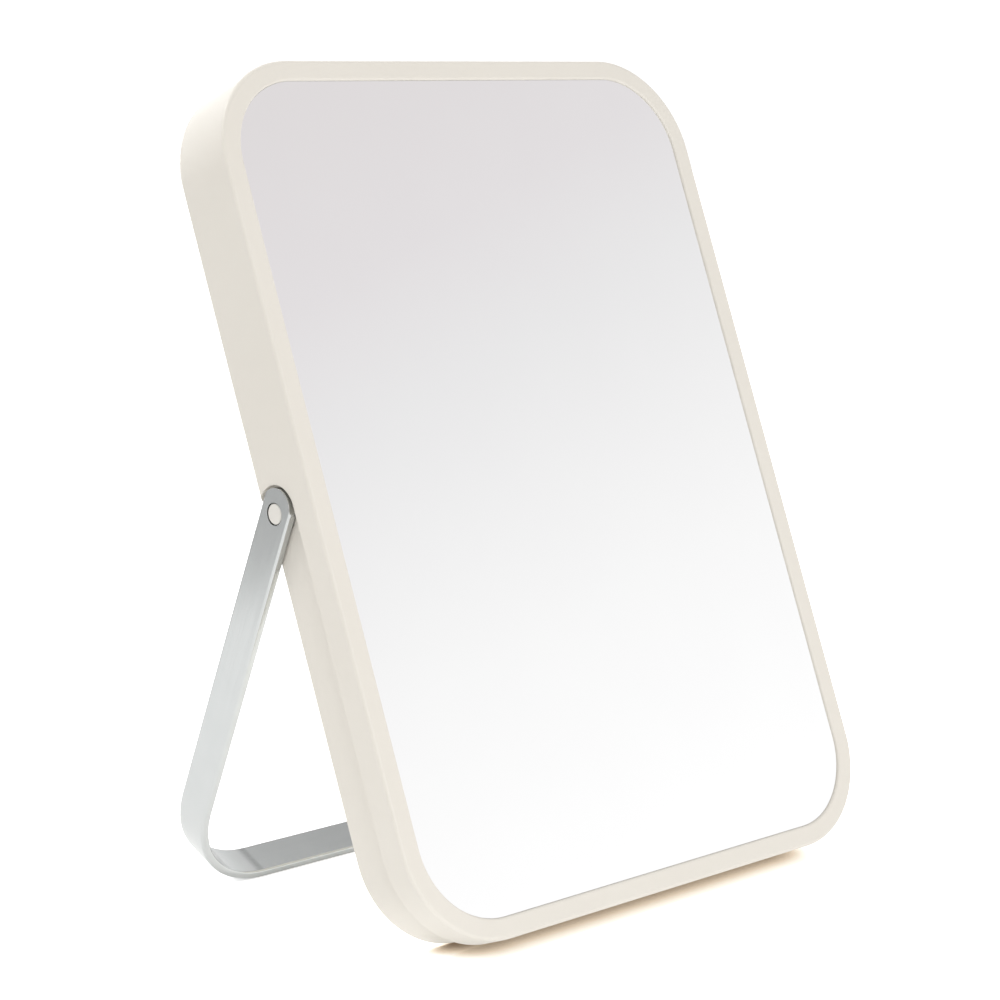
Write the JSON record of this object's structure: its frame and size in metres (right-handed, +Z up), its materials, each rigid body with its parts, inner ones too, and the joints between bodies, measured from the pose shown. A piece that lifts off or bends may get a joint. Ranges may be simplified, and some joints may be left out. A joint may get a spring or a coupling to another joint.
{
  "type": "countertop mirror",
  "caption": "Rectangular countertop mirror in a moulded plastic frame, leaning back on a folding U-shaped steel strap stand.",
  "frame": {"origin": "on the surface that it stands on, in the middle of its outer size", "axes": "+Z up, +X to the right as seen from the front, and the mirror faces -Y and leans back"},
  "size_m": [0.1766, 0.114, 0.2301],
  "materials": {
    "cream_plastic": "satin moulded cream plastic with a very fine texture",
    "panel_plastic": "matt moulded cream plastic with a light spark texture",
    "mirror": "silvered plate glass",
    "film": "matt grey splinter film",
    "foam_tape": "white closed-cell foam tape",
    "satin_steel": "satin flat steel, brushed along its length, with bright rolled edges",
    "zinc_steel": "bright zinc plating",
    "nylon": "natural nylon"
  },
  "bodies": {
    "housing": {"frame": "cream_plastic", "mirror_glass": "mirror", "safety_film": "film", "tape_strip_top": "foam_tape", "tape_strip_bottom": "foam_tape", "tape_strip_left": "foam_tape", "tape_strip_right": "foam_tape", "back_panel": "panel_plastic", "panel_screw_1": "zinc_steel", "panel_screw_2": "zinc_steel", "panel_screw_3": "zinc_steel", "panel_screw_4": "zinc_steel", "panel_screw_5": "zinc_steel", "panel_screw_6": "zinc_steel", "pivot_pin_left": "cream_plastic", "pivot_pin_right": "cream_plastic", "friction_washer_left": "nylon", "friction_washer_right": "nylon", "retaining_ring_left": "zinc_steel", "retaining_ring_right": "zinc_steel"},
    "stand": {"stand_strap": "satin_steel"}
  },
  "joints": [
    {"name": "stand_hinge", "type": "hinge", "parent": "housing", "child": "stand", "pos_m": [0, -0.00008, 0.11368], "axis": [1, 0, 0], "range_deg": [-45.35, 28.5]}
  ]
}
